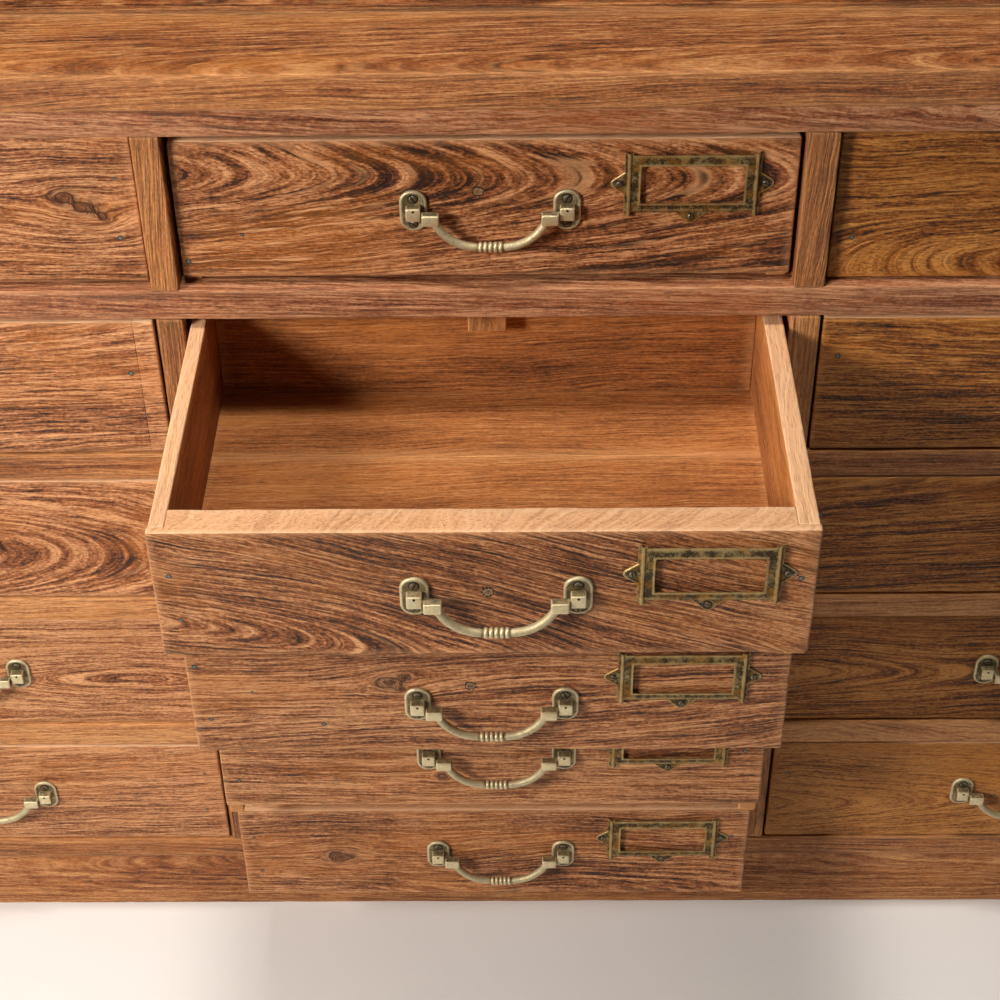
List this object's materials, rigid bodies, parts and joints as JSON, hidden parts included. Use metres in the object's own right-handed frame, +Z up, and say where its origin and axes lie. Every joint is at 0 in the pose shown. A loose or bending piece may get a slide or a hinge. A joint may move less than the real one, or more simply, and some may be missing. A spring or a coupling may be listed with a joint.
{
  "type": "apothecary cabinet",
  "caption": "Wide low teak chest of small sliding drawers in columns and rows, each with a swinging brass handle and a card holder; some of the middle drawers stand open.",
  "frame": {"origin": "on the floor, at the middle of the carcass's footprint, under the plinth's centre bearer", "axes": "+Z up, the drawer fronts face -Y, +X to the right when facing the fronts"},
  "size_m": [1.311, 0.5278, 0.7995],
  "materials": {
    "carcass_teak": "worn oiled reclaimed teak",
    "drawer_teak": "worn oiled reclaimed teak, raw inside",
    "aged_brass": "antique brass with dark patina",
    "handle_brass": "antique brass, rubbed bright on the raised parts"
  },
  "bodies": {
    "cabinet": {"top_boards": "carcass_teak", "left_end_panel": "carcass_teak", "right_end_panel": "carcass_teak", "back_boards": "carcass_teak", "bottom_boards": "carcass_teak", "plinth_frame": "carcass_teak", "end_stiles": "carcass_teak", "inner_stiles": "carcass_teak", "top_rail": "carcass_teak", "long_rail": "carcass_teak", "short_rails": "carcass_teak", "bottom_rail": "carcass_teak", "partitions": "carcass_teak", "drawer_runners": "carcass_teak", "drawer_stops": "carcass_teak"},
    "drawer_1_left": {"drawer_1_left_box": "drawer_teak", "drawer_1_left_fittings": "aged_brass"},
    "drawer_1_left_handle": {"drawer_1_left_handle": "handle_brass"},
    "drawer_2_left": {"drawer_2_left_box": "drawer_teak", "drawer_2_left_fittings": "aged_brass"},
    "drawer_2_left_handle": {"drawer_2_left_handle": "handle_brass"},
    "drawer_3_left": {"drawer_3_left_box": "drawer_teak", "drawer_3_left_fittings": "aged_brass"},
    "drawer_3_left_handle": {"drawer_3_left_handle": "handle_brass"},
    "drawer_4_left": {"drawer_4_left_box": "drawer_teak", "drawer_4_left_fittings": "aged_brass"},
    "drawer_4_left_handle": {"drawer_4_left_handle": "handle_brass"},
    "drawer_5_left": {"drawer_5_left_box": "drawer_teak", "drawer_5_left_fittings": "aged_brass"},
    "drawer_5_left_handle": {"drawer_5_left_handle": "handle_brass"},
    "drawer_1_middle": {"drawer_1_middle_box": "drawer_teak", "drawer_1_middle_fittings": "aged_brass"},
    "drawer_1_middle_handle": {"drawer_1_middle_handle": "handle_brass"},
    "drawer_2_middle": {"drawer_2_middle_box": "drawer_teak", "drawer_2_middle_fittings": "aged_brass"},
    "drawer_2_middle_handle": {"drawer_2_middle_handle": "handle_brass"},
    "drawer_3_middle": {"drawer_3_middle_box": "drawer_teak", "drawer_3_middle_fittings": "aged_brass"},
    "drawer_3_middle_handle": {"drawer_3_middle_handle": "handle_brass"},
    "drawer_4_middle": {"drawer_4_middle_box": "drawer_teak", "drawer_4_middle_fittings": "aged_brass"},
    "drawer_4_middle_handle": {"drawer_4_middle_handle": "handle_brass"},
    "drawer_5_middle": {"drawer_5_middle_box": "drawer_teak", "drawer_5_middle_fittings": "aged_brass"},
    "drawer_5_middle_handle": {"drawer_5_middle_handle": "handle_brass"},
    "drawer_1_right": {"drawer_1_right_box": "drawer_teak", "drawer_1_right_fittings": "aged_brass"},
    "drawer_1_right_handle": {"drawer_1_right_handle": "handle_brass"},
    "drawer_2_right": {"drawer_2_right_box": "drawer_teak", "drawer_2_right_fittings": "aged_brass"},
    "drawer_2_right_handle": {"drawer_2_right_handle": "handle_brass"},
    "drawer_3_right": {"drawer_3_right_box": "drawer_teak", "drawer_3_right_fittings": "aged_brass"},
    "drawer_3_right_handle": {"drawer_3_right_handle": "handle_brass"},
    "drawer_4_right": {"drawer_4_right_box": "drawer_teak", "drawer_4_right_fittings": "aged_brass"},
    "drawer_4_right_handle": {"drawer_4_right_handle": "handle_brass"},
    "drawer_5_right": {"drawer_5_right_box": "drawer_teak", "drawer_5_right_fittings": "aged_brass"},
    "drawer_5_right_handle": {"drawer_5_right_handle": "handle_brass"}
  },
  "joints": [
    {"name": "drawer_1_left_slide", "type": "slide", "parent": "cabinet", "child": "drawer_1_left", "axis": [0, -1, 0], "range_m": [0, 0.2085]},
    {"name": "drawer_1_left_handle_swing", "type": "hinge", "parent": "drawer_1_left", "child": "drawer_1_left_handle", "pos_m": [-0.4095, -0.153, 0.697], "axis": [-1, 0, 0], "range_deg": [0, 100]},
    {"name": "drawer_2_left_slide", "type": "slide", "parent": "cabinet", "child": "drawer_2_left", "axis": [0, -1, 0], "range_m": [0, 0.2075]},
    {"name": "drawer_2_left_handle_swing", "type": "hinge", "parent": "drawer_2_left", "child": "drawer_2_left_handle", "pos_m": [-0.4095, -0.161, 0.562], "axis": [-1, 0, 0], "range_deg": [0, 100]},
    {"name": "drawer_3_left_slide", "type": "slide", "parent": "cabinet", "child": "drawer_3_left", "axis": [0, -1, 0], "range_m": [0, 0.2075]},
    {"name": "drawer_3_left_handle_swing", "type": "hinge", "parent": "drawer_3_left", "child": "drawer_3_left_handle", "pos_m": [-0.4095, -0.161, 0.427], "axis": [-1, 0, 0], "range_deg": [0, 100]},
    {"name": "drawer_4_left_slide", "type": "slide", "parent": "cabinet", "child": "drawer_4_left", "axis": [0, -1, 0], "range_m": [0, 0.2085]},
    {"name": "drawer_4_left_handle_swing", "type": "hinge", "parent": "drawer_4_left", "child": "drawer_4_left_handle", "pos_m": [-0.4095, -0.159, 0.292], "axis": [-1, 0, 0], "range_deg": [0, 100]},
    {"name": "drawer_5_left_slide", "type": "slide", "parent": "cabinet", "child": "drawer_5_left", "axis": [0, -1, 0], "range_m": [0, 0.2075]},
    {"name": "drawer_5_left_handle_swing", "type": "hinge", "parent": "drawer_5_left", "child": "drawer_5_left_handle", "pos_m": [-0.4095, -0.161, 0.157], "axis": [-1, 0, 0], "range_deg": [0, 100]},
    {"name": "drawer_1_middle_slide", "type": "slide", "parent": "cabinet", "child": "drawer_1_middle", "axis": [0, -1, 0], "range_m": [0, 0.2085]},
    {"name": "drawer_1_middle_handle_swing", "type": "hinge", "parent": "drawer_1_middle", "child": "drawer_1_middle_handle", "pos_m": [0.0035, -0.153, 0.69575], "axis": [-1, 0, 0], "range_deg": [0, 100]},
    {"name": "drawer_2_middle_slide", "type": "slide", "parent": "cabinet", "child": "drawer_2_middle", "axis": [0, -1, 0], "range_m": [-0.2045, 0.003]},
    {"name": "drawer_2_middle_handle_swing", "type": "hinge", "parent": "drawer_2_middle", "child": "drawer_2_middle_handle", "pos_m": [0.007, -0.3655, 0.5615], "axis": [-1, 0, 0], "range_deg": [0, 100]},
    {"name": "drawer_3_middle_slide", "type": "slide", "parent": "cabinet", "child": "drawer_3_middle", "axis": [0, -1, 0], "range_m": [-0.155, 0.0525]},
    {"name": "drawer_3_middle_handle_swing", "type": "hinge", "parent": "drawer_3_middle", "child": "drawer_3_middle_handle", "pos_m": [0.002, -0.316, 0.419], "axis": [-1, 0, 0], "range_deg": [0, 100]},
    {"name": "drawer_4_middle_slide", "type": "slide", "parent": "cabinet", "child": "drawer_4_middle", "axis": [0, -1, 0], "range_m": [-0.097, 0.1115]},
    {"name": "drawer_4_middle_handle_swing", "type": "hinge", "parent": "drawer_4_middle", "child": "drawer_4_middle_handle", "pos_m": [0.0035, -0.256, 0.3045], "axis": [-1, 0, 0], "range_deg": [0, 100]},
    {"name": "drawer_5_middle_slide", "type": "slide", "parent": "cabinet", "child": "drawer_5_middle", "axis": [0, -1, 0], "range_m": [-0.062, 0.1455]},
    {"name": "drawer_5_middle_handle_swing", "type": "hinge", "parent": "drawer_5_middle", "child": "drawer_5_middle_handle", "pos_m": [0.005, -0.223, 0.156], "axis": [-1, 0, 0], "range_deg": [0, 100]},
    {"name": "drawer_1_right_slide", "type": "slide", "parent": "cabinet", "child": "drawer_1_right", "axis": [0, -1, 0], "range_m": [0, 0.2085]},
    {"name": "drawer_1_right_handle_swing", "type": "hinge", "parent": "drawer_1_right", "child": "drawer_1_right_handle", "pos_m": [0.4225, -0.153, 0.697], "axis": [-1, 0, 0], "range_deg": [0, 100]},
    {"name": "drawer_2_right_slide", "type": "slide", "parent": "cabinet", "child": "drawer_2_right", "axis": [0, -1, 0], "range_m": [0, 0.2075]},
    {"name": "drawer_2_right_handle_swing", "type": "hinge", "parent": "drawer_2_right", "child": "drawer_2_right_handle", "pos_m": [0.4225, -0.161, 0.562], "axis": [-1, 0, 0], "range_deg": [0, 100]},
    {"name": "drawer_3_right_slide", "type": "slide", "parent": "cabinet", "child": "drawer_3_right", "axis": [0, -1, 0], "range_m": [0, 0.2075]},
    {"name": "drawer_3_right_handle_swing", "type": "hinge", "parent": "drawer_3_right", "child": "drawer_3_right_handle", "pos_m": [0.4225, -0.161, 0.427], "axis": [-1, 0, 0], "range_deg": [0, 100]},
    {"name": "drawer_4_right_slide", "type": "slide", "parent": "cabinet", "child": "drawer_4_right", "axis": [0, -1, 0], "range_m": [0, 0.2085]},
    {"name": "drawer_4_right_handle_swing", "type": "hinge", "parent": "drawer_4_right", "child": "drawer_4_right_handle", "pos_m": [0.4225, -0.159, 0.292], "axis": [-1, 0, 0], "range_deg": [0, 100]},
    {"name": "drawer_5_right_slide", "type": "slide", "parent": "cabinet", "child": "drawer_5_right", "axis": [0, -1, 0], "range_m": [0, 0.2075]},
    {"name": "drawer_5_right_handle_swing", "type": "hinge", "parent": "drawer_5_right", "child": "drawer_5_right_handle", "pos_m": [0.4225, -0.161, 0.157], "axis": [-1, 0, 0], "range_deg": [0, 100]}
  ]
}
